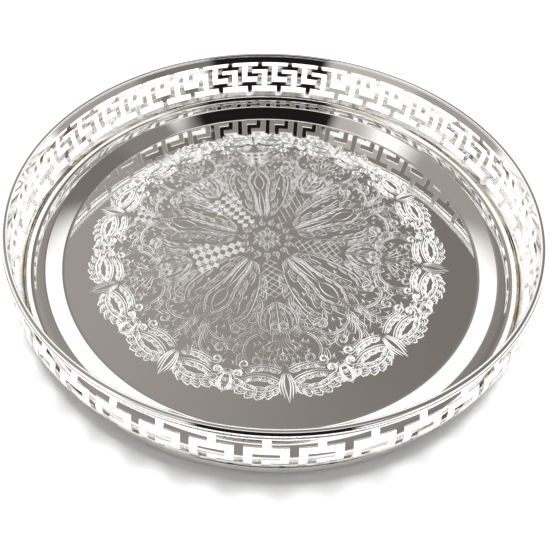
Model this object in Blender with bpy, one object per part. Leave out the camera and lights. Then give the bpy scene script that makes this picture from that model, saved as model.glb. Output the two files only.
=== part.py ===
"""Offering plate: a dished tray with a pierced Greek-key gallery and a rolled rim.

Metres, +Z up. The origin is on the ground at the centre of the foot; the front is -Y.
Every sub-part is one closed body. Bodies that are soldered together in the real
object stand about 0.3 mm apart here.
"""
import math

import bmesh
import bpy

MM = 0.001

RING_SEGMENTS = 84          # facets around every turned piece

# The gallery is a strip cut into a grid of cells and bent into a ring that bulges outward.
FRET_REPEATS = 41           # how many times the key pattern runs round
GALLERY_THICKNESS = 0.7     # mm
# Where the grid lines run, bottom to top: (height, outer radius) in millimetres.
# The first is the strip's bottom edge and the last its top edge; the piercing is between.
GALLERY_PROFILE = (
    (10.5, 149.7), (14.6, 150.9), (18.4, 152.3), (21.6, 153.3), (25.6, 154.1),
    (28.9, 154.2), (32.4, 153.7), (36.4, 152.5), (40.2, 151.0), (41.0, 150.8),
)
FRET_START_DEGREES = -85.35     # where a repeat begins; repeats run clockwise from above

# One repeat of the piercing, top row first. '#' is metal, '.' is cut away.
FRET_ROWS = (
    "..#...",
    "#####.",
    "#...#.",
    "###.#.",
    "..#.#.",
    "###.##",
    "#.....",
)

# Turned sections in millimetres, (radius, height), listed round the section.
TRAY_SECTION = (
    (0.0, 2.2), (127.2, 2.2), (128.3, 2.35), (129.2, 2.74), (137.4, 7.47), (138.0, 7.74), (138.8, 7.93),
    (143.6, 8.86), (145.6, 9.3), (147.5, 10.15),
    (148.5, 10.15), (148.5, 9.2), (145.6, 8.1), (143.8, 7.6),
    (138.3, 6.55), (136.8, 5.9), (129.6, 1.75), (128.6, 1.2), (127.4, 1.0), (0.0, 1.0),
)
FOOT_SECTION = (
    (143.8, 0.0), (147.0, 0.0), (148.0, 1.2), (148.9, 3.1), (149.7, 6.4), (149.7, 10.2), (148.8, 10.2),
    (148.8, 6.6), (148.1, 4.2), (146.9, 2.0), (145.9, 1.2), (143.8, 1.2),
)
RIM_BAND_SECTION = (
    (148.6, 41.3), (150.3, 41.3), (151.0, 43.2), (151.7, 44.7), (150.4, 45.0), (149.5, 43.2),
)

BEAD_RADIUS_AT = 150.65 * MM    # centre of the rolled rim, from the axis
BEAD_HEIGHT_AT = 46.3 * MM
BEAD_HALF_WIDTH = 1.75 * MM     # the roll is an oval, wider than it is high
BEAD_HALF_HEIGHT = 1.2 * MM
BEAD_FACETS = 8

SEAM_RADIUS_AT = 148.25 * MM    # centre of the brass seam, from the axis
SEAM_HEIGHT_AT = 10.8 * MM
SEAM_THICKNESS = 0.3 * MM       # radius of the wire
SEAM_FACETS = 6

SILVER_COLOUR = (0.92, 0.91, 0.89, 1.0)
BRASS_COLOUR = (0.80, 0.58, 0.22, 1.0)
MIRROR_ROUGHNESS = 0.06
POLISHED_ROUGHNESS = 0.08
BRASS_ROUGHNESS = 0.25

TURNED_SMOOTH_DEGREES = 40.0    # edges sharper than this stay sharp
GALLERY_SMOOTH_DEGREES = 30.0


def clear_scene():
    """Remove whatever the empty file came with."""
    for thing in list(bpy.data.objects):
        bpy.data.objects.remove(thing, do_unlink=True)


def make_material(name, colour, roughness):
    """A plain metal."""
    material = bpy.data.materials.new(name)
    material.use_nodes = True
    shader = material.node_tree.nodes["Principled BSDF"]
    shader.inputs["Base Color"].default_value = colour
    shader.inputs["Metallic"].default_value = 1.0
    shader.inputs["Roughness"].default_value = roughness
    return material


def add_object(name, mesh_builder, material, smooth_angle):
    """Turn a finished bmesh into a named object with outward normals."""
    bmesh.ops.recalc_face_normals(mesh_builder, faces=mesh_builder.faces)
    mesh = bpy.data.meshes.new(name)
    mesh_builder.to_mesh(mesh)
    mesh_builder.free()
    mesh.materials.append(material)
    mesh.shade_smooth()
    mesh.set_sharp_from_angle(angle=smooth_angle)
    thing = bpy.data.objects.new(name, mesh)
    bpy.context.scene.collection.objects.link(thing)
    return thing


def ring_of_points(builder, radius, height):
    """The points one section corner leaves as it turns, or one point on the axis."""
    if radius == 0.0:
        return [builder.verts.new((0.0, 0.0, height))]
    points = []
    for step in range(RING_SEGMENTS):
        angle = 2.0 * math.pi * step / RING_SEGMENTS
        points.append(builder.verts.new((radius * math.cos(angle), radius * math.sin(angle), height)))
    return points


def skin_between(builder, first, second):
    """Faces between two turned rings; either may be a single point on the axis."""
    if len(first) == 1 and len(second) == 1:
        return
    for step in range(RING_SEGMENTS):
        after = (step + 1) % RING_SEGMENTS
        if len(first) == 1:
            builder.faces.new((first[0], second[step], second[after]))
        elif len(second) == 1:
            builder.faces.new((first[step], second[0], first[after]))
        else:
            builder.faces.new((first[step], second[step], second[after], first[after]))


def make_turned(name, section, material):
    """Turn a closed section of (radius, height) corners round the vertical axis."""
    builder = bmesh.new()
    rings = [ring_of_points(builder, radius, height) for radius, height in section]
    for index, ring in enumerate(rings):
        skin_between(builder, ring, rings[(index + 1) % len(rings)])
    return add_object(name, builder, material, smooth_angle=math.radians(TURNED_SMOOTH_DEGREES))


def in_metres(section):
    """A section given in millimetres, in metres."""
    return [(radius * MM, height * MM) for radius, height in section]


def oval_section(centre_radius, centre_height, half_width, half_height, facets):
    """A round or oval bar's section; its flats face up, down, in and out."""
    section = []
    stretch = 1.0 / math.cos(math.pi / facets)
    for step in range(facets):
        angle = 2.0 * math.pi * (step + 0.5) / facets
        section.append((centre_radius + half_width * stretch * math.cos(angle),
                        centre_height + half_height * stretch * math.sin(angle)))
    return section


def fret_is_metal(column, row):
    """Whether a grid cell is metal; the lowest and highest rows are plain bands."""
    if row < 0 or row > len(FRET_ROWS) + 1:
        return False
    if row == 0 or row == len(FRET_ROWS) + 1:
        return True
    pattern = FRET_ROWS[len(FRET_ROWS) - row]
    return pattern[column % len(pattern)] == "#"


def gallery_points(builder, columns, inset):
    """Grid points on one face of the strip, inset metres in from the outer face, as [column][level]."""
    grid = []
    for column in range(columns):
        angle = math.radians(FRET_START_DEGREES) - 2.0 * math.pi * column / columns
        line = []
        for height, radius in GALLERY_PROFILE:
            reach = radius * MM - inset
            line.append(builder.verts.new((reach * math.cos(angle), reach * math.sin(angle), height * MM)))
        grid.append(line)
    return grid


def cut_gallery_cell(builder, inner, outer, column, row):
    """Skin one metal cell: both faces, and a wall wherever its neighbour is cut away."""
    after = (column + 1) % len(inner)
    corners = ((column, row), (after, row), (after, row + 1), (column, row + 1))
    neighbours = ((column, row - 1), (column + 1, row), (column, row + 1), (column - 1, row))
    for grid in (inner, outer):
        builder.faces.new([grid[c][r] for c, r in corners])
    for side, (near_column, near_row) in enumerate(neighbours):
        if fret_is_metal(near_column, near_row):
            continue
        c0, r0 = corners[side]
        c1, r1 = corners[(side + 1) % len(corners)]
        builder.faces.new((inner[c0][r0], inner[c1][r1], outer[c1][r1], outer[c0][r0]))


def make_gallery(material):
    """The pierced strip that stands round the tray."""
    builder = bmesh.new()
    columns = FRET_REPEATS * len(FRET_ROWS[0])
    inner = gallery_points(builder, columns, GALLERY_THICKNESS * MM)
    outer = gallery_points(builder, columns, 0.0)
    for column in range(columns):
        for row in range(len(GALLERY_PROFILE) - 1):
            if fret_is_metal(column, row):
                cut_gallery_cell(builder, inner, outer, column, row)
    loose = [point for point in builder.verts if not point.link_faces]
    bmesh.ops.delete(builder, geom=loose, context="VERTS")
    return add_object("gallery", builder, material, smooth_angle=math.radians(GALLERY_SMOOTH_DEGREES))


def build():
    """Make every sub-part."""
    clear_scene()
    tray_silver = make_material("tray_silver", SILVER_COLOUR, MIRROR_ROUGHNESS)
    make_turned("tray_plate", in_metres(TRAY_SECTION), tray_silver)
    foot_silver = make_material("foot_silver", SILVER_COLOUR, POLISHED_ROUGHNESS)
    make_turned("foot_ring", in_metres(FOOT_SECTION), foot_silver)
    seam = oval_section(SEAM_RADIUS_AT, SEAM_HEIGHT_AT, SEAM_THICKNESS, SEAM_THICKNESS, SEAM_FACETS)
    make_turned("seam_wire", seam, make_material("seam_brass", BRASS_COLOUR, BRASS_ROUGHNESS))
    make_gallery(make_material("gallery_silver", SILVER_COLOUR, POLISHED_ROUGHNESS))
    rim_silver = make_material("rim_silver", SILVER_COLOUR, MIRROR_ROUGHNESS)
    make_turned("rim_band", in_metres(RIM_BAND_SECTION), rim_silver)
    bead = oval_section(BEAD_RADIUS_AT, BEAD_HEIGHT_AT, BEAD_HALF_WIDTH, BEAD_HALF_HEIGHT, BEAD_FACETS)
    make_turned("rim_bead", bead, make_material("bead_silver", SILVER_COLOUR, MIRROR_ROUGHNESS))


build()
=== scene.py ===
"""Looks of the offering plate: silver-plated gallery tray on a white studio floor."""

import math

import bmesh
import bpy
import numpy as np
from mathutils import Matrix, Vector


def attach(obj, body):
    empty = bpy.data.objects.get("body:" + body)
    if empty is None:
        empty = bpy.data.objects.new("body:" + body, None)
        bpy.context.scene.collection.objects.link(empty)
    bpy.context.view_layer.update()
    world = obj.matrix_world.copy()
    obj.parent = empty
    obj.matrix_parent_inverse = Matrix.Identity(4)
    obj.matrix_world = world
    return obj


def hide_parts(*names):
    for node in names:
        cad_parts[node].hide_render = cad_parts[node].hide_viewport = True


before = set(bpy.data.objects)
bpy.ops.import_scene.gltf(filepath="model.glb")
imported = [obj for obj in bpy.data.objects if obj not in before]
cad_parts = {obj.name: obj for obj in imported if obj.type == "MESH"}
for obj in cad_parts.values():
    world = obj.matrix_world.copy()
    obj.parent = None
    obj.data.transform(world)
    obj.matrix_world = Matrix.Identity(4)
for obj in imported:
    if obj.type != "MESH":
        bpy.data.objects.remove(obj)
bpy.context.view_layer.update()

MM = 0.001
RING_STEPS = 492            # facets around every turned piece; a multiple of the gallery's columns

# Gallery strip. The key pattern is the frame's; the profile bulges up to 0.4 mm more.
FRET_REPEATS = 41
FRET_SPLITS = 3             # facets across one column of the key pattern
FRET_START_DEGREES = -85.35
FRET_ROWS = (
    "..#...",
    "#####.",
    "#...#.",
    "###.#.",
    "..#.#.",
    "###.##",
    "#.....",
)
GALLERY_THICKNESS = 0.7     # mm
# Heights and outer radii of the strip's grid lines, bottom to top, in millimetres.
# The extra bulge puts the dark reflections at the back on the right rows of the pattern.
GALLERY_PROFILE = (
    (10.5, 149.7), (14.6, 150.9), (18.4, 152.5), (21.6, 153.7), (25.6, 154.4),
    (28.9, 154.3), (32.4, 153.7), (36.4, 152.5), (40.2, 151.0), (41.0, 150.8),
)

STEP_SLOPE = 30.0           # degrees, of the cone between floor and ledge
LEDGE_SLOPE = 11.0          # degrees, of the ledge, falling inward


# ---------------------------------------------------------------- mesh helpers

def link(name, mesh, material):
    """Put a finished mesh in the scene with its material."""
    mesh.materials.append(material)
    piece = bpy.data.objects.new(name, mesh)
    bpy.context.scene.collection.objects.link(piece)
    return piece


def arc(centre_r, centre_z, radius, start_deg, end_deg, steps):
    """Points on a circular arc in the (radius, height) plane, in millimetres."""
    points = []
    for step in range(steps + 1):
        angle = math.radians(start_deg + (end_deg - start_deg) * step / steps)
        points.append((centre_r + radius * math.cos(angle), centre_z + radius * math.sin(angle)))
    return points


def turn(name, section, material, smooth_deg=35.0):
    """Turn a closed section, (radius, height) in millimetres, about the vertical axis."""
    angles = np.linspace(0.0, 2.0 * math.pi, RING_STEPS, endpoint=False)
    vertices = []
    rings = []
    for radius, height in section:
        if radius < 1e-6:
            rings.append([len(vertices)])
            vertices.append((0.0, 0.0, height * MM))
            continue
        first = len(vertices)
        for angle in angles:
            vertices.append((radius * MM * math.cos(angle), radius * MM * math.sin(angle), height * MM))
        rings.append(list(range(first, first + RING_STEPS)))
    faces = []
    for index, ring in enumerate(rings):
        other = rings[(index + 1) % len(rings)]
        if len(ring) == 1 and len(other) == 1:
            continue
        for step in range(RING_STEPS):
            after = (step + 1) % RING_STEPS
            if len(ring) == 1:
                faces.append((ring[0], other[after], other[step]))
            elif len(other) == 1:
                faces.append((ring[step], ring[after], other[0]))
            else:
                faces.append((ring[step], ring[after], other[after], other[step]))
    mesh = bpy.data.meshes.new(name)
    mesh.from_pydata(vertices, [], faces)
    builder = bmesh.new()
    builder.from_mesh(mesh)
    bmesh.ops.recalc_face_normals(builder, faces=builder.faces)
    builder.to_mesh(mesh)
    builder.free()
    mesh.shade_smooth()
    mesh.set_sharp_from_angle(angle=math.radians(smooth_deg))
    return link(name, mesh, material)


# ---------------------------------------------------------------- materials

def silver(name, roughness=0.05, colour=(0.93, 0.92, 0.905, 1.0)):
    """Polished silver plate: faint wipe marks in the gloss."""
    material = bpy.data.materials.new(name)
    material.use_nodes = True
    nodes = material.node_tree.nodes
    links = material.node_tree.links
    shader = nodes["Principled BSDF"]
    shader.inputs["Metallic"].default_value = 1.0
    shader.inputs["Base Color"].default_value = colour
    where = nodes.new("ShaderNodeTexCoord")
    noise = nodes.new("ShaderNodeTexNoise")
    noise.inputs["Scale"].default_value = 60.0
    noise.inputs["Detail"].default_value = 4.0
    spread = nodes.new("ShaderNodeMapRange")
    spread.inputs["To Min"].default_value = roughness * 0.6
    spread.inputs["To Max"].default_value = roughness * 1.5
    links.new(where.outputs["Object"], noise.inputs["Vector"])
    links.new(noise.outputs["Fac"], spread.inputs["Value"])
    links.new(spread.outputs["Result"], shader.inputs["Roughness"])
    return material


def satin(name, roughness):
    """Cut or sawn silver that was not buffed: brighter and softer than the polish."""
    material = silver(name, roughness=roughness, colour=(0.97, 0.965, 0.955, 1.0))
    shader = material.node_tree.nodes["Principled BSDF"]
    shader.inputs["Metallic"].default_value = 0.75
    return material


def brass(name):
    """Bare brass seam, patchy: bright gold, brown and silvered over by turns."""
    material = silver(name, roughness=0.22)
    nodes = material.node_tree.nodes
    links = material.node_tree.links
    where = nodes["Texture Coordinate"]
    patches = nodes.new("ShaderNodeTexNoise")
    patches.inputs["Scale"].default_value = 45.0
    patches.inputs["Detail"].default_value = 3.0
    tones = nodes.new("ShaderNodeValToRGB")
    tones.color_ramp.elements[0].position = 0.42
    tones.color_ramp.elements[0].color = (0.06, 0.04, 0.015, 1.0)
    tones.color_ramp.elements[1].position = 0.62
    tones.color_ramp.elements[1].color = (0.86, 0.83, 0.74, 1.0)
    middle = tones.color_ramp.elements.new(0.5)
    middle.color = (0.62, 0.47, 0.13, 1.0)
    links.new(where.outputs["Object"], patches.inputs["Vector"])
    links.new(patches.outputs["Fac"], tones.inputs["Fac"])
    links.new(tones.outputs["Color"], nodes["Principled BSDF"].inputs["Base Color"])
    return material


# ---------------------------------------------------------------- pieces

def tray_section():
    """Floor, conical step, gently sloping ledge and turned-up edge; upper side first."""
    upper = [(0.0, 2.2), (40.0, 2.2), (80.0, 2.2), (118.0, 2.2)]
    upper += arc(127.2, 2.2 + 4.0, 4.0, 270, 270 + STEP_SLOPE, 8)
    upper += arc(139.56, 7.93 - 3.93, 4.0, 90 + STEP_SLOPE, 90 + LEDGE_SLOPE, 6)
    upper += [(141.2, 8.39), (143.0, 8.74)]
    upper += arc(142.6, 8.7 + 6.1, 6.25, 270 + LEDGE_SLOPE, 270 + 46, 10)
    upper += [(147.6, 10.75)]
    lower = [(148.5, 10.4), (148.5, 9.2), (145.6, 8.1), (143.8, 7.6), (138.3, 6.55), (136.8, 5.9),
             (129.6, 1.75), (128.6, 1.2), (127.4, 1.0), (0.0, 1.0)]
    return upper + lower


def gallery_is_metal(column, row):
    """Whether a grid cell is metal; the lowest and highest rows are plain bands."""
    if row < 0 or row > len(FRET_ROWS) + 1:
        return False
    if row == 0 or row == len(FRET_ROWS) + 1:
        return True
    return FRET_ROWS[len(FRET_ROWS) - row][(column // FRET_SPLITS) % 6] == "#"


def make_gallery(polish, sawn):
    """The pierced strip; the walls of its openings carry the second material."""
    columns = FRET_REPEATS * 6 * FRET_SPLITS
    high = len(GALLERY_PROFILE)
    vertices = []
    for inset in (GALLERY_THICKNESS, 0.0):
        for column in range(columns):
            angle = math.radians(FRET_START_DEGREES) - 2.0 * math.pi * column / columns
            for height, radius in GALLERY_PROFILE:
                reach = (radius - inset) * MM
                vertices.append((reach * math.cos(angle), reach * math.sin(angle), height * MM))

    def at(side, column, row):
        return (side * columns + column % columns) * high + row

    faces, cut = [], []
    for column in range(columns):
        for row in range(high - 1):
            if not gallery_is_metal(column, row):
                continue
            corners = ((column, row), (column + 1, row), (column + 1, row + 1), (column, row + 1))
            beyond = ((column, row - 1), (column + 1, row), (column, row + 1), (column - 1, row))
            faces.append([at(0, c, r) for c, r in corners])
            faces.append([at(1, c, r) for c, r in reversed(corners)])
            cut += [0, 0]
            for side in range(4):
                if gallery_is_metal(*beyond[side]):
                    continue
                (c0, r0), (c1, r1) = corners[side], corners[(side + 1) % 4]
                faces.append([at(0, c1, r1), at(0, c0, r0), at(1, c0, r0), at(1, c1, r1)])
                cut.append(1)
    mesh = bpy.data.meshes.new("gallery_silver")
    mesh.from_pydata(vertices, [], faces)
    mesh.polygons.foreach_set("material_index", cut)
    builder = bmesh.new()
    builder.from_mesh(mesh)
    loose = [point for point in builder.verts if not point.link_faces]
    bmesh.ops.delete(builder, geom=loose, context="VERTS")
    bmesh.ops.recalc_face_normals(builder, faces=builder.faces)
    builder.to_mesh(mesh)
    builder.free()
    mesh.shade_smooth()
    mesh.set_sharp_from_angle(angle=math.radians(30.0))
    piece = link("gallery_silver", mesh, polish)
    mesh.materials.append(sawn)
    bevel = piece.modifiers.new("soft_edges", "BEVEL")
    bevel.width = 0.2 * MM
    bevel.segments = 2
    bevel.limit_method = "ANGLE"
    bevel.angle_limit = math.radians(40.0)
    bevel.harden_normals = True
    bevel.material = 1
    return piece


def ride_for(piece, node):
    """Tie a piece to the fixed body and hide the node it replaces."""
    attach(piece, "root")
    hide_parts(node)


# ---------------------------------------------------------------- engraving

FLOOR_TOP = 2.2             # height of the tray's flat floor, mm
CUT_FOOT = -0.015           # how far the cuts and tiles reach below the floor, mm
TILE_TOP = 0.06             # how far a bright tile stands above the floor, mm
# Painted shade: the field's cuts get a darker base colour than the border's, so the same engraved silver
# reads greyer there.
FIELD_PAINTED_SHADE = (0.78, 0.775, 0.77, 1.0)
ROSETTE_CENTRE = (-2.0, -1.0)
ROSETTE_FOLDS = 5
ROSETTE_TURN = 26.0         # direction of the first plume, degrees from +X
BRIGHT_FOLDS = (1, 2)       # folds with bright lattice cells, a stand-in for light from the left
CUT_STEEPNESS = 0.65        # rise of a cut's ridge over its half width


def smooth_path(corners, count=14):
    """A Catmull-Rom curve through 2-D corners, as count points."""
    p = np.array(corners, dtype=float)
    p = np.vstack([2 * p[0] - p[1], p, 2 * p[-1] - p[-2]])
    spans = len(p) - 3
    out = []
    for t in np.linspace(0.0, spans - 1e-6, count):
        i = int(t)
        u = t - i
        a, b, c, d = p[i], p[i + 1], p[i + 2], p[i + 3]
        out.append(0.5 * ((2 * b) + (c - a) * u + (2 * a - 5 * b + 4 * c - d) * u * u
                          + (3 * b - a - 3 * c + d) * u ** 3))
    return np.array(out)


def turned_by(vector, degrees):
    """A 2-D vector turned anticlockwise."""
    a = math.radians(degrees)
    return np.array((vector[0] * math.cos(a) - vector[1] * math.sin(a),
                     vector[0] * math.sin(a) + vector[1] * math.cos(a)))


def on_path(path, t):
    """Point and unit direction at a fraction of the way along a path."""
    place = t * (len(path) - 1)
    i = min(int(place), len(path) - 2)
    step = path[i + 1] - path[i]
    return path[i] + step * (place - i), step / (np.linalg.norm(step) + 1e-9)


def spiral(centre, radius, start_deg, turns, hand, end_radius=0.5, count=26):
    """A volute winding in from radius to end_radius."""
    t = np.linspace(0.0, 1.0, count)
    r = radius * (1 - t) ** 0.85 + end_radius * t
    a = np.radians(start_deg) + hand * 2 * math.pi * turns * t
    return np.stack([centre[0] + r * np.cos(a), centre[1] + r * np.sin(a)], axis=1)


def frond(cuts, spine, lobes, reach, side, first=0.04, last=0.96, width=0.5, blades=3, lean=48.0):
    """Rounded acanthus lobes down one side of a spine, each with nested cuts inside its outline."""
    pitch = (last - first) / lobes
    for i in range(lobes):
        near, way = on_path(spine, first + pitch * i)
        far, _ = on_path(spine, first + pitch * (i + 0.92))
        size = reach * (0.62 + 0.38 * math.sin(math.pi * min(1.0, 0.15 + 0.8 * i / lobes)))
        out = turned_by(way, side * lean)
        tip = (near + far) / 2 + out * size
        hook = turned_by(way, side * (lean - 62.0)) * size
        for j in range(blades):
            shrink = 1.0 - 0.3 * j
            middle = (near + far) / 2
            top = middle + (tip - middle) * shrink
            left = near + (middle - near) * 0.4 * j + out * size * 0.62 * shrink - hook * 0.16
            right = far + (middle - far) * 0.4 * j + out * size * 0.42 * shrink + hook * 0.12
            corners = [near + (middle - near) * 0.35 * j, left, top + hook * 0.10 * shrink, right]
            cuts.append((smooth_path(corners, 7 if j == 0 else 5), width * (1.0 if j == 0 else 0.75)))


def shifted(path, distance):
    """The same path moved sideways."""
    d = np.gradient(path, axis=0)
    d /= np.linalg.norm(d, axis=1)[:, None] + 1e-9
    return path + np.stack([-d[:, 1], d[:, 0]], axis=1) * distance


def scroll(cuts, corners, volute, turns, hand, width=0.55, gap=1.1, lobes=7, reach=5.0, both=True):
    """A C-scroll: a double line that ends in a volute, with leaf lobes outside it."""
    spine = smooth_path(corners, 24)
    cuts.append((spine, width * 1.25))
    cuts.append((shifted(spine, gap * hand), width * 0.8))
    end, along = on_path(spine, 1.0)
    middle = end + turned_by(along, 90.0 * hand) * volute
    start = math.degrees(math.atan2(end[1] - middle[1], end[0] - middle[0]))
    cuts.append((spiral(middle, volute, start, turns, hand), width * 1.2))
    cuts.append((spiral(middle, volute * 0.72, start + 40, turns * 0.8, hand, 0.3, 18), width * 0.7))
    frond(cuts, spine, lobes, reach, -hand, width=width)
    if both:
        frond(cuts, spine, max(3, lobes - 2), reach * 0.6, hand, width=width * 0.85, blades=3)


def plume(cuts):
    """Half of an acanthus plume on the axis, with a plain almond eye."""
    cuts.append((smooth_path([(46, 0), (50, 2.4), (54.5, 3.3), (59, 2.2), (63, 0)], 12), 0.75))
    cuts.append((smooth_path([(20, 0.5), (32, 1.5), (46, 0.4)], 8), 0.7))
    side = smooth_path([(19, 1.4), (27, 4.6), (36, 4.4), (46, 5.6), (55, 7.6), (62, 5.8), (69, 1.6)], 28)
    cuts.append((side, 0.62))
    frond(cuts, side, 7, 9.8, 1, width=0.62, lean=40.0)
    frond(cuts, side, 8, 3.0, -1, width=0.55, blades=2, lean=36.0)
    inner = smooth_path([(20, 0.8), (32, 2.0), (43, 3.0)], 14)
    frond(cuts, inner, 6, 2.6, 1, width=0.5, blades=2, lean=36.0)
    for i in range(5):
        x = 62.5 + 1.9 * i
        cuts.append((smooth_path([(x, 0.2), (x + 1.6, 1.4), (x + 1.8, 3.4 - 0.4 * i)], 5), 0.55))


def flank(cuts):
    """Acanthus between the plume and the lattice, and the big scrolls beyond."""
    leaf = smooth_path([(26, 10.5), (36, 15.5), (47, 19.0), (57, 20.5), (65, 18.0)], 22)
    cuts.append((leaf, 0.8))
    frond(cuts, leaf, 5, 8.5, 1, width=0.62, lean=46.0)
    frond(cuts, leaf, 4, 5.0, -1, width=0.55, blades=2, first=0.3)
    scroll(cuts, [(71, 1.5), (77, 7.0), (79, 15.0), (76, 22.5), (70, 25.0)], 5.2, 1.4, 1,
           width=0.68, lobes=5, reach=7.5, both=False)
    scroll(cuts, [(60, 38.0), (66, 31.0), (73, 29.0), (80, 31.5), (84, 37.5)], 4.4, 1.3, 1,
           width=0.62, lobes=4, reach=6.5, both=False)
    scroll(cuts, [(44, 24.5), (54, 26.0), (60, 30.0), (61, 37.0)], 4.6, 1.3, 1,
           width=0.62, lobes=4, reach=6.5, both=False)
    scroll(cuts, [(72, 6.0), (80, 5.0), (88, 8.5), (90.5, 15.5), (87, 21.5)], 4.6, 1.4, 1,
           width=0.65, lobes=5, reach=5.5, both=False)
    spray = smooth_path([(62, 13.0), (66, 17.5), (66, 24.0), (61.0, 27.0)], 14)
    cuts.append((spray, 0.65))
    frond(cuts, spray, 3, 5.0, -1, width=0.55, blades=2)


def lattice(cuts, tiles, axis_deg, inner, outer, half_inner, half_outer, pitch, spread):
    """A diamond lattice in a wedge on an axis; every other tile is cut bright."""
    a = math.radians(axis_deg)
    ahead = np.array((math.cos(a), math.sin(a)))
    across = np.array((-ahead[1], ahead[0]))

    def inside(p):
        r = p @ ahead
        w = half_inner + (half_outer - half_inner) * (r - inner) / (outer - inner)
        return inner <= r <= outer and abs(p @ across) <= w

    for sign in (-1, 1):
        line = turned_by(ahead, 90 - spread * sign)
        step = turned_by(line, 90)
        middle = ahead * (inner + outer) / 2
        for n in range(-14, 15):
            samples = [middle + step * pitch * n + line * s for s in np.arange(-26, 26, 0.5)]
            kept = [p for p in samples if inside(p)]
            if len(kept) > 4:
                cuts.append((np.array(kept)[:: max(1, len(kept) // 6)], 0.42))
    one = turned_by(ahead, 90 - spread)
    two = turned_by(ahead, 90 + spread)
    skew = pitch / math.sin(math.radians(2 * spread))
    for i in range(-12, 13):
        for j in range(-12, 13):
            if (i + j) % 2:
                continue
            p = ahead * (inner + outer) / 2 + (one * (i + 0.5) + two * (j + 0.5)) * skew
            if inside(p):
                corners = ((-1, -1), (1, -1), (1, 1), (-1, 1))
                tiles.append([p + (one * u + two * v) * skew * 0.41 for u, v in corners])


def axis_spray(cuts, axis_deg):
    """A symmetric acanthus spray that rises outward on an axis."""
    local = []
    spine = smooth_path([(49.0, 0.0), (58.0, 0.0), (66.0, 0.0), (74.0, 0.0)], 16)
    frond(local, spine, 4, 9.0, 1, width=0.62, lean=40.0)
    low = smooth_path([(50.0, 1.0), (54.0, 6.0), (60.0, 9.5), (67.0, 10.0)], 14)
    local.append((low, 0.62))
    frond(local, low, 4, 4.6, -1, width=0.55, blades=2)
    cuts.append((rotated(spine, axis_deg), 0.75))
    for hand in (1, -1):
        cuts.extend((rotated(path * np.array((1.0, hand)), axis_deg), width) for path, width in local)


def shell(cuts, axis_deg, inner, outer, half_deg):
    """A ribbed shell that fans out round an axis."""
    a = math.radians(axis_deg)
    ahead = np.array((math.cos(a), math.sin(a)))
    root = ahead * inner
    ribs = 9
    for i in range(ribs):
        angle = half_deg * (2.0 * i / (ribs - 1) - 1.0)
        way = turned_by(ahead, angle)
        size = (outer - inner) * (1.0 - 0.22 * abs(angle / half_deg) ** 2)
        cuts.append((np.array([root + way * 1.2, root + way * size * 0.55, root + way * size]), 0.6))
        if i < ribs - 1:
            a0, a1 = angle, half_deg * (2.0 * (i + 1) / (ribs - 1) - 1.0)
            for edge, crown, count, width in ((0.93, 1.1, 7, 0.55), (0.62, 0.74, 6, 0.4)):
                bow = ((a0, edge), ((a0 + a1) / 2, crown), (a1, edge))
                ends = [root + turned_by(ahead, v) * size * k for v, k in bow]
                cuts.append((smooth_path(ends, count), width))


def flower(cuts):
    """The middle rosette: twelve petals round a small boss, inside a collar of small scrolls."""
    for i in range(12):
        way = turned_by(np.array((1.0, 0.0)), 30.0 * i)
        side = turned_by(way, 90)
        size = 10.6 if i % 2 else 8.4
        for hand in (-1, 1):
            petal = [way * 2.6, way * size * 0.6 + side * 1.7 * hand, way * size]
            cuts.append((smooth_path(petal, 8), 0.6))
        cuts.append((np.array([way * 3.4, way * size * 0.5, way * size * 0.8]), 0.4))
    for i in range(15):
        way = turned_by(np.array((1.0, 0.0)), 24.0 * i + 5.0)
        side = turned_by(way, 90)
        cuts.append((spiral(way * 13.4, 1.9, 24.0 * i - 70.0, 1.2, 1, 0.4, 12), 0.6))
        leaf = [way * 11.8 + side * 1.6, way * 14.2 + side * 2.7, way * 17.2 + side * 1.4]
        cuts.append((smooth_path(leaf, 6), 0.6))
        tip = [way * 15.0, way * 16.6 + side * 1.1, way * 19.4 + side * 0.2]
        cuts.append((smooth_path(tip, 5), 0.5))
    cuts.append((spiral(np.zeros(2), 2.2, 0, 1.0, 1, 2.1, 14), 0.5))


def polar(corners):
    """Corners given as (radius, degrees), as x and y."""
    return [(r * math.cos(math.radians(a)), r * math.sin(math.radians(a))) for r, a in corners]


def border(cuts):
    """One tenth of the outer border of scrolls and leaves, its tip on the local +X axis."""
    local = []
    for i in range(3):
        petal = [(96.5, 0.2 + 0.4 * i), (103.5, 0.9 + 0.7 * i), (113.4 - 2.2 * i, 1.0 * i)]
        local.append((smooth_path(polar(petal), 8), 0.95))
    stem = [(104.0, 2.4), (106.8, 5.8), (106.8, 10.2), (104.4, 14.6), (105.6, 18.0)]
    garland = smooth_path(polar(stem), 24)
    local.append((garland, 1.0))
    frond(local, garland, 7, 5.4, -1, first=0.0, width=0.9, lean=56.0, blades=4)
    frond(local, garland, 5, 4.8, 1, width=0.8, lean=46.0)
    for i in range(2):
        bud = [(98.0, 17.6 - 0.5 * i), (103.5, 16.6 - 0.5 * i), (110.2 - 1.8 * i, 18.0 - 1.1 * i)]
        local.append((smooth_path(polar(bud), 7), 0.9))
    scroll(local, polar([(102.2, 1.8), (99.2, 5.0), (98.4, 9.6), (101.0, 13.8)]), 3.3, 1.3, 1,
           width=0.9, gap=1.4, lobes=4, reach=4.6, both=False)
    scroll(local, polar([(95.6, 0.9), (93.0, 4.6), (92.8, 8.8), (94.8, 12.6)]), 3.0, 1.3, 1,
           width=0.85, gap=1.3, lobes=4, reach=4.4, both=False)
    inner = smooth_path(polar([(95.0, 13.8), (97.0, 16.0), (96.0, 17.8)]), 8)
    local.append((inner, 0.8))
    frond(local, inner, 2, 3.6, -1, width=0.7, blades=3)
    for hand in (1, -1):
        cuts.extend((path * np.array((1.0, hand)), width) for path, width in local)


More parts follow.
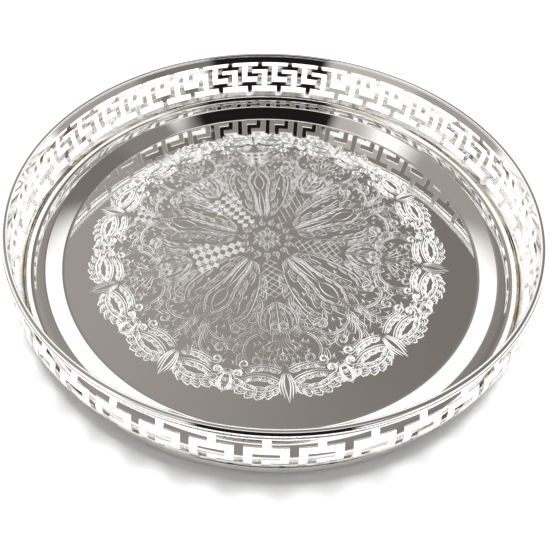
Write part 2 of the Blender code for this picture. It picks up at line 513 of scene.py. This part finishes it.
def sprigs(cuts, edge_angle, inner, outer):
    """Small three-cut sprigs in whatever space the half sector has left."""
    rng = np.random.default_rng(11)
    taken = np.vstack([path for path, width in cuts])
    added = []
    for attempt in range(900):
        radius = inner + (outer - inner) * math.sqrt(rng.random())
        angle = math.radians(edge_angle) * rng.random()
        point = np.array((radius * math.cos(angle), radius * math.sin(angle)))
        if abs(point[1]) < 4.4 and 43.0 < point[0] < 65.0:
            continue
        if np.min(np.sum((taken - point) ** 2, axis=1)) < 2.2 ** 2:
            continue
        way = turned_by(np.array((1.0, 0.0)), math.degrees(angle) + rng.uniform(-70, 70))
        fresh = []
        for lean in (-34.0, 0.0, 34.0):
            bend = point + turned_by(way, lean * 0.4) * 1.2
            end = point + turned_by(way, lean) * 3.2
            fresh.append((smooth_path([point - way * 0.8, bend, end], 5), 0.5))
        added += fresh
        taken = np.vstack([taken] + [path for path, width in fresh])
    return added


def rotated(path, degrees):
    """A path turned anticlockwise about the centre of the rosette."""
    a = math.radians(degrees)
    spin = np.array(((math.cos(a), math.sin(a)), (-math.sin(a), math.cos(a))))
    return np.asarray(path) @ spin


def rosette():
    """Every cut and every bright tile of the rosette, placed on the tray floor."""
    half, tiles = [], []
    plume(half)
    flank(half)
    filled = list(half)
    axis_spray(filled, 180.0 / ROSETTE_FOLDS)
    lattice(filled, [], 180.0 / ROSETTE_FOLDS, 17.0, 48.0, 4.2, 12.5, 3.7, 40.0)
    half += sprigs(filled, 180.0 / ROSETTE_FOLDS, 18.0, 92.0)
    sector = list(half) + [(path * np.array((1.0, -1.0)), width) for path, width in half]
    fold = 360.0 / ROSETTE_FOLDS
    lattice(sector, tiles, fold / 2, 17.0, 48.0, 4.2, 12.5, 3.7, 40.0)
    lattice(sector, tiles, 0.0, 75.5, 89.0, 5.5, 10.0, 3.4, 40.0)
    axis_spray(sector, fold / 2)
    shell(sector, fold / 2, 74.0, 92.0, 62.0)
    edge = []
    border(edge)
    field, outer, panes = [], [], []
    flower(field)
    for k in range(ROSETTE_FOLDS):
        turn_deg = ROSETTE_TURN + fold * k
        field += [(rotated(path, turn_deg), width) for path, width in sector]
        if k in BRIGHT_FOLDS:
            panes += [rotated(pane, turn_deg) for pane in tiles]
    for k in range(2 * ROSETTE_FOLDS):
        outer += [(rotated(path, ROSETTE_TURN + fold / 2 * k), width) for path, width in edge]
    shift = np.array(ROSETTE_CENTRE)
    field = [(path + shift, width) for path, width in field]
    outer = [(path + shift, width) for path, width in outer]
    return field, outer, [pane + shift for pane in panes]


def wear(point):
    """How much of a cut is left where the floor has been rubbed; 1 is crisp."""
    worn = 0.55 * math.exp(-((point[0] + 38.0) ** 2 + (point[1] + 62.0) ** 2) / (2 * 27.0 ** 2))
    worn += 0.45 * math.exp(-((point[0] - 5.0) ** 2 + (point[1] + 80.0) ** 2) / (2 * 20.0 ** 2))
    return 1.0 - min(0.8, worn)


def cut_bars(cuts):
    """Each cut as a slim three-sided bar whose ends taper to points."""
    vertices, faces = [], []
    for path, width in cuts:
        path = np.asarray(path, dtype=float)
        along = np.gradient(path, axis=0)
        along /= np.linalg.norm(along, axis=1)[:, None] + 1e-9
        side = np.stack([-along[:, 1], along[:, 0]], axis=1)
        first = len(vertices)
        count = len(path)
        bulge = np.clip(np.sin(np.pi * np.arange(count) / (count - 1)), 0.0, 1.0)
        swell = (0.15 + 0.85 * bulge ** 0.6) * width * 0.5
        swell = swell * wear(path[count // 2])
        for i in range(count):
            left, right = path[i] + side[i] * swell[i], path[i] - side[i] * swell[i]
            ridge = swell[i] * CUT_STEEPNESS
            for corner, z in ((left, CUT_FOOT), (right, CUT_FOOT), (path[i], ridge)):
                vertices.append((corner[0] * MM, corner[1] * MM, (FLOOR_TOP + z) * MM))
        faces.append((first, first + 2, first + 1))
        for i in range(count - 1):
            a = first + 3 * i
            for u, v in ((0, 2), (2, 1), (1, 0)):
                faces.append((a + u, a + v, a + 3 + v, a + 3 + u))
        last = first + 3 * (count - 1)
        faces.append((last, last + 1, last + 2))
    return vertices, faces


def tile_pads(panes):
    """Each bright tile as a low pad with sloping sides."""
    vertices, faces = [], []
    for pane in panes:
        first = len(vertices)
        middle = np.mean(pane, axis=0)
        for shrink, z in ((1.0, CUT_FOOT), (0.85, TILE_TOP)):
            for corner in pane:
                place = middle + (corner - middle) * shrink
                vertices.append((place[0] * MM, place[1] * MM, (FLOOR_TOP + z) * MM))
        faces.append([first + 4, first + 5, first + 6, first + 7])
        faces.append([first + 3, first + 2, first + 1, first])
        for i in range(4):
            j = (i + 1) % 4
            faces.append([first + i, first + j, first + 4 + j, first + 4 + i])
    return vertices, faces


def outward_mesh(name, vertices, faces):
    """A mesh whose faces all point out."""
    mesh = bpy.data.meshes.new(name)
    mesh.from_pydata(vertices, [], faces)
    builder = bmesh.new()
    builder.from_mesh(mesh)
    bmesh.ops.recalc_face_normals(builder, faces=builder.faces)
    builder.to_mesh(mesh)
    builder.free()
    return mesh


def build_engraving():
    """The rosette on the floor: border, field and lattice tiles."""
    field, edge, panes = rosette()
    # The field's cuts use the border's satin with that darker colour painted in, as painted shade.
    field_painted_shade_look = satin("engraving_field_painted_shade_look", 0.2)
    field_painted_shade_look.node_tree.nodes["Principled BSDF"].inputs["Base Color"].default_value = FIELD_PAINTED_SHADE
    bright = satin("engraving_border_look", 0.2)
    made = (("engraving_field", cut_bars(field), field_painted_shade_look), ("engraving_border", cut_bars(edge), bright),
            ("engraving_tiles", tile_pads(panes), bright))
    for name, (vertices, faces), look in made:
        ride_for(link(name, outward_mesh(name, vertices, faces), look), "tray_plate")


def oval(centre_r, centre_z, half_wide, half_high, steps):
    """A closed oval section."""
    points = []
    for step in range(steps):
        angle = 2.0 * math.pi * step / steps
        points.append((centre_r + half_wide * math.cos(angle), centre_z + half_high * math.sin(angle)))
    return points


def build_plate():
    """The six pieces of the plate itself."""
    tray = turn("tray_silver_floor", tray_section(), silver("tray_silver_look", 0.04))
    ride_for(tray, "tray_plate")
    foot = [(143.8, 0.0), (146.6, 0.0), (147.1, 0.25), (148.0, 1.2), (148.9, 3.1), (149.4, 4.8),
            (149.7, 6.6), (149.7, 10.0), (149.5, 10.2), (148.8, 10.2), (148.8, 6.6), (148.1, 4.2),
            (146.9, 2.0), (145.9, 1.2), (143.8, 1.2)]
    ride_for(turn("foot_silver_band", foot, silver("foot_silver_look", 0.07)), "foot_ring")
    seam = oval(148.25, 10.95, 0.32, 0.3, 10)
    ride_for(turn("seam_brass_wire", seam, brass("seam_brass_look")), "seam_wire")
    gallery = make_gallery(silver("gallery_silver_look", 0.06), satin("gallery_sawn_look", 0.3))
    ride_for(gallery, "gallery")
    band = [(148.6, 41.3), (150.2, 41.3), (150.6, 42.2), (151.0, 43.2), (151.7, 44.7), (151.5, 45.0),
            (150.4, 45.0), (149.5, 43.2)]
    ride_for(turn("rim_silver_band", band, silver("rim_silver_look", 0.05)), "rim_band")
    bead = oval(150.65, 46.3, 1.75, 1.2, 28)
    roll = turn("bead_silver_roll", bead, silver("bead_silver_look", 0.05))
    ride_for(roll, "rim_bead")


# ---------------------------------------------------------------- studio

def build_floor():
    """A plain white square under the plate."""
    mesh = bpy.data.meshes.new("studio_floor")
    half = 1.0
    corners = [(-half, -half, 0), (half, -half, 0), (half, half, 0), (-half, half, 0)]
    mesh.from_pydata(corners, [], [(0, 1, 2, 3)])
    material = bpy.data.materials.new("studio_white")
    material.use_nodes = True
    shader = material.node_tree.nodes["Principled BSDF"]
    shader.inputs["Base Color"].default_value = (0.9, 0.9, 0.9, 1.0)
    shader.inputs["Roughness"].default_value = 0.9
    piece = link("studio_floor", mesh, material)
    piece.location.z = -0.0002


def build_world():
    """Soft zones of light and dark that the silver mirrors, placed by direction.

    They were adjusted until the reflections agreed at the main camera's angle."""
    world = bpy.data.worlds.new("studio")
    bpy.context.scene.world = world
    world.use_nodes = True
    nodes = world.node_tree.nodes
    links = world.node_tree.links
    where = nodes.new("ShaderNodeTexCoord")
    parts = nodes.new("ShaderNodeSeparateXYZ")
    links.new(where.outputs["Generated"], parts.inputs["Vector"])

    def fade(source, low, high):
        """0 below low, 1 above high, smooth between; or falling when low > high."""
        node = nodes.new("ShaderNodeMapRange")
        node.interpolation_type = "SMOOTHSTEP"
        if low < high:
            node.inputs["From Min"].default_value = low
            node.inputs["From Max"].default_value = high
        else:
            node.inputs["From Min"].default_value = high
            node.inputs["From Max"].default_value = low
            node.inputs["To Min"].default_value = 1.0
            node.inputs["To Max"].default_value = 0.0
        links.new(source, node.inputs["Value"])
        return node.outputs["Result"]

    def times(first, second):
        node = nodes.new("ShaderNodeMath")
        node.operation = "MULTIPLY"
        links.new(first, node.inputs[0])
        links.new(second, node.inputs[1])
        return node.outputs["Value"]

    def mix(factor, base, over):
        node = nodes.new("ShaderNodeMix")
        node.data_type = "RGBA"
        links.new(factor, node.inputs["Factor"])
        for index, value in ((6, base), (7, over)):
            if isinstance(value, tuple):
                node.inputs[index].default_value = value
            else:
                links.new(value, node.inputs[index])
        return node.outputs[2]

    # The dim far side of the room, lighter on the left.
    across = fade(parts.outputs["X"], -0.4, 0.4)
    far_grey = mix(across, (0.36, 0.335, 0.31, 1.0), (0.19, 0.172, 0.16, 1.0))
    size_x = nodes.new("ShaderNodeMath")
    size_x.operation = "ABSOLUTE"
    links.new(parts.outputs["X"], size_x.inputs[0])
    beyond = nodes.new("ShaderNodeMath")
    beyond.operation = "SUBTRACT"
    links.new(size_x.outputs["Value"], beyond.inputs[0])
    links.new(parts.outputs["Z"], beyond.inputs[1])
    far = times(fade(beyond.outputs["Value"], -0.21, -0.29), fade(parts.outputs["Y"], 0.15, 0.28))
    far = times(far, times(fade(parts.outputs["Z"], 0.44, 0.52), fade(parts.outputs["Z"], 0.97, 0.93)))
    sky = mix(far, (1.15, 1.15, 1.15, 1.0), far_grey)
    corner = times(fade(parts.outputs["X"], 0.28, 0.34), fade(parts.outputs["Y"], -0.02, 0.08))
    steep = times(fade(parts.outputs["Z"], 0.84, 0.88), fade(parts.outputs["Z"], 0.97, 0.93))
    corner = times(corner, steep)
    sky = mix(corner, sky, (0.24, 0.22, 0.21, 1.0))
    # A dark soft-edged panel overhead and on the near side, wider toward the horizon, with
    # dimmer zones to the right and left of it.
    lean = nodes.new("ShaderNodeMath")
    lean.operation = "MULTIPLY_ADD"
    links.new(parts.outputs["Y"], lean.inputs[0])
    lean.inputs[1].default_value = -0.6
    lean.inputs[2].default_value = 0.6
    fan = nodes.new("ShaderNodeMath")
    fan.operation = "DIVIDE"
    links.new(parts.outputs["X"], fan.inputs[0])
    links.new(lean.outputs["Value"], fan.inputs[1])
    across_near = fan.outputs["Value"]
    near_side = fade(parts.outputs["Y"], 0.13, 0.05)
    level = fade(parts.outputs["Z"], 0.50, 0.42)
    high = fade(parts.outputs["Z"], 0.80, 0.88)
    right = times(near_side, fade(across_near, 0.30, 0.40))
    left = times(near_side, fade(across_near, -0.25, -0.35))
    reach = nodes.new("ShaderNodeMath")
    reach.operation = "ABSOLUTE"
    links.new(across_near, reach.inputs[0])
    level = times(level, fade(reach.outputs["Value"], 1.15, 0.95))
    high = times(high, fade(reach.outputs["Value"], 0.78, 0.60))
    low = times(fade(parts.outputs["Z"], 0.03, 0.08), fade(parts.outputs["Z"], 0.60, 0.45))
    side_wall = times(low, fade(size_x.outputs["Value"], 0.78, 0.86))
    side_wall = times(side_wall, fade(parts.outputs["Y"], 0.42, 0.28))
    sky = mix(side_wall, sky, (0.38, 0.355, 0.34, 1.0))
    dark_panel = times(near_side, times(fade(across_near, -0.37, -0.29), fade(across_near, 0.49, 0.41)))
    dark_panel = times(dark_panel, fade(parts.outputs["Z"], 0.07, 0.12))
    for side, tone in ((right, (0.20, 0.185, 0.17, 1.0)), (left, (0.52, 0.49, 0.45, 1.0))):
        for band in (level, high):
            sky = mix(times(side, band), sky, tone)
    sky = mix(dark_panel, sky, (0.012, 0.010, 0.010, 1.0))
    # What the camera sees past the floor is plain; only the silver shows the studio.
    ray = nodes.new("ShaderNodeLightPath")
    sky = mix(ray.outputs["Is Camera Ray"], sky, (1.0, 1.0, 1.0, 1.0))
    background = nodes["Background"]
    links.new(sky, background.inputs["Color"])
    background.inputs["Strength"].default_value = 1.0
    world.cycles_visibility.diffuse = False


def add_softbox(name, place, wide, deep, power):
    """A square lamp facing the plate that mirrors do not show."""
    lamp = bpy.data.lights.new(name, "AREA")
    lamp.shape = "RECTANGLE"
    lamp.size = wide
    lamp.size_y = deep
    lamp.energy = power
    holder = bpy.data.objects.new(name, lamp)
    holder.location = place
    holder.rotation_euler = Vector(place).to_track_quat("Z", "Y").to_euler()
    holder.visible_glossy = False
    bpy.context.scene.collection.objects.link(holder)


def build_lights():
    """A key lamp high behind the plate, whose shadow falls forward, and a wide fill."""
    add_softbox("key_softbox", (0.06, 0.30, 1.30), 1.0, 0.8, 33.0)
    add_softbox("room_fill", (0.0, 0.0, 2.0), 4.0, 4.0, 40.0)


def build_camera():
    """The main camera, above and in front of the plate."""
    camera = bpy.data.cameras.new("camera")
    camera.sensor_width = 36.0
    camera.lens = 38.84
    camera.shift_x = 0.0427
    camera.shift_y = -0.102
    camera.clip_start = 0.01
    holder = bpy.data.objects.new("camera", camera)
    place = Vector((0.0, -0.2604, 0.27735))
    target = Vector((-0.01073, -0.02931, 0.0475))
    turned = (target - place).to_track_quat("-Z", "Y").to_matrix().to_4x4()
    roll = Matrix.Rotation(0.0143, 4, "Z")
    holder.matrix_world = Matrix.Translation(place) @ turned @ roll
    bpy.context.scene.collection.objects.link(holder)
    bpy.context.scene.camera = holder


build_plate()
build_engraving()
build_floor()
build_world()
build_lights()
build_camera()
bpy.context.scene.view_settings.view_transform = "Standard"
